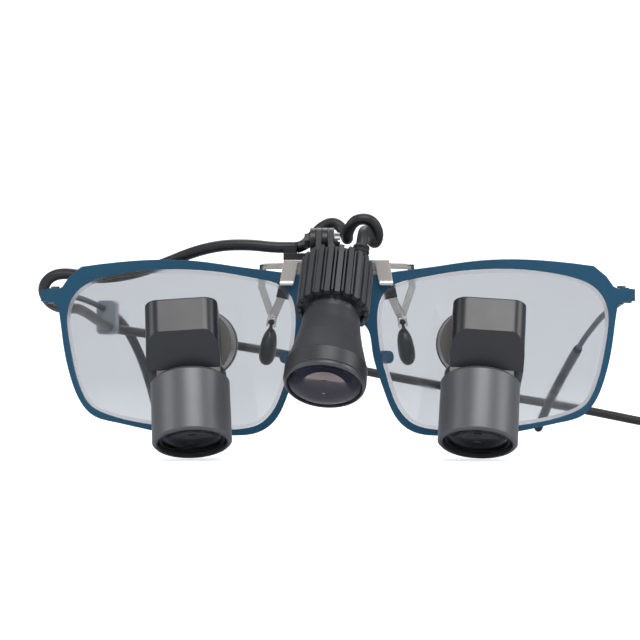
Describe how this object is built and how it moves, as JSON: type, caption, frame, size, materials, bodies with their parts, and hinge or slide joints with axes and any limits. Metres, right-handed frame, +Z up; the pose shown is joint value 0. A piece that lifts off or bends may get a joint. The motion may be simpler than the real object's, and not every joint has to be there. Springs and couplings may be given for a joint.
{
  "type": "dental loupes",
  "caption": "Spectacle-mounted dental loupes: blue metal frame, prism telescopes through clear carrier lenses, a tilting ribbed LED headlight over the bridge and its cable.",
  "frame": {"origin": "on the surface that the loupes stand on, under the middle of the standing object without its free cord", "axes": "+X to the right seen from in front, +Y back along the temples, +Z up"},
  "size_m": [0.2153, 0.1847, 0.0562],
  "materials": {
    "frame_blue": "satin blue lacquer on pressed sheet, paler at the worn edges",
    "lens_clear": "clear carrier lens with a frosted bevelled edge",
    "housing_black": "brushed dark grey anodising, darker on the slanted faces",
    "barrel_grey": "fine satin grey anodising",
    "black_anodised": "matt black anodising",
    "optic_glass": "coated optical glass",
    "eyepiece_grey": "bright grey metal",
    "fastener_steel": "small machine screws",
    "sprung_steel": "bright spring sheet",
    "arm_block_black": "black moulded block",
    "pad_silicone": "soft black silicone",
    "heat_sink_grey": "dark grey anodised ribs",
    "lamp_grey": "dark satin anodising with turning marks",
    "board_green": "circuit board",
    "led_yellow": "phosphor dome",
    "cable_black": "matt jacket of a limp cable",
    "tip_black": "soft dark temple sleeve",
    "clip_plastic": "dark moulded clip",
    "plug_plastic": "moulded plug body",
    "plug_metal": "plated plug sleeve"
  },
  "bodies": {
    "front": {"bridge_saddle": "sprung_steel", "coil_tie": "clip_plastic", "cord_coil": "cable_black", "free_cord": "cable_black", "front_frame": "frame_blue", "housing_screws": "fastener_steel", "lamp_bracket": "black_anodised", "lamp_lead": "cable_black", "left_carrier_lens": "lens_clear", "left_deflection_prism": "optic_glass", "left_eyepiece_tube": "eyepiece_grey", "left_hinge_leaf": "frame_blue", "left_hinge_screw": "fastener_steel", "left_housing_back": "housing_black", "left_nose_arm": "sprung_steel", "left_objective_barrel": "barrel_grey", "left_objective_cell": "black_anodised", "left_objective_lens": "optic_glass", "left_ocular_lens": "optic_glass", "left_prism_housing": "housing_black", "nose_arm_blocks": "arm_block_black", "nose_arm_screws": "fastener_steel", "pivot_nut": "fastener_steel", "pivot_screw": "fastener_steel", "plug_body": "plug_plastic", "plug_lead": "cable_black", "plug_sleeve": "plug_metal", "right_carrier_lens": "lens_clear", "right_deflection_prism": "optic_glass", "right_eyepiece_tube": "eyepiece_grey", "right_hinge_leaf": "frame_blue", "right_hinge_screw": "fastener_steel", "right_housing_back": "housing_black", "right_nose_arm": "sprung_steel", "right_objective_barrel": "barrel_grey", "right_objective_cell": "black_anodised", "right_objective_lens": "optic_glass", "right_ocular_lens": "optic_glass", "right_prism_housing": "housing_black", "temple_lead": "cable_black"},
    "lamp": {"hinge_cap": "black_anodised", "heat_sink": "heat_sink_grey", "led_board": "board_green", "led_emitter": "led_yellow", "lamp_collar": "lamp_grey", "lamp_cone": "lamp_grey", "lamp_band": "lamp_grey", "lamp_bezel": "lamp_grey", "lamp_lens": "optic_glass", "strain_relief": "cable_black"},
    "left_temple": {"left_temple_arm": "frame_blue", "left_temple_tip": "tip_black", "temple_cable_clip": "clip_plastic"},
    "right_temple": {"right_temple_arm": "frame_blue", "right_temple_tip": "tip_black"},
    "left_pad": {"left_nose_pad": "pad_silicone"},
    "right_pad": {"right_nose_pad": "pad_silicone"}
  },
  "joints": [
    {"name": "lamp_tilt", "type": "hinge", "parent": "front", "child": "lamp", "pos_m": [-0.00165, -0.053, 0.0496], "axis": [1, 0, 0], "range_deg": [-25, 18], "deforming": ["lamp_lead"]},
    {"name": "left_temple_fold", "type": "hinge", "parent": "front", "child": "left_temple", "pos_m": [-0.0666, -0.0358, 0.0375], "axis": [0, 0, 1], "range_deg": [-75, 0], "deforming": ["temple_lead", "free_cord"]},
    {"name": "right_temple_fold", "type": "hinge", "parent": "front", "child": "right_temple", "pos_m": [0.0698, -0.0358, 0.0375], "axis": [0, 0, 1], "range_deg": [0, 80]},
    {"name": "left_pad_rock", "type": "hinge", "parent": "front", "child": "left_pad", "pos_m": [-0.014, -0.0388, 0.03104], "axis": [-0.0085, -0.9988, -0.0492], "range_deg": [-8, 8]},
    {"name": "right_pad_rock", "type": "hinge", "parent": "front", "child": "right_pad", "pos_m": [0.01719, -0.0388, 0.03104], "axis": [0.0085, -0.9988, -0.0492], "range_deg": [-8, 8]}
  ]
}
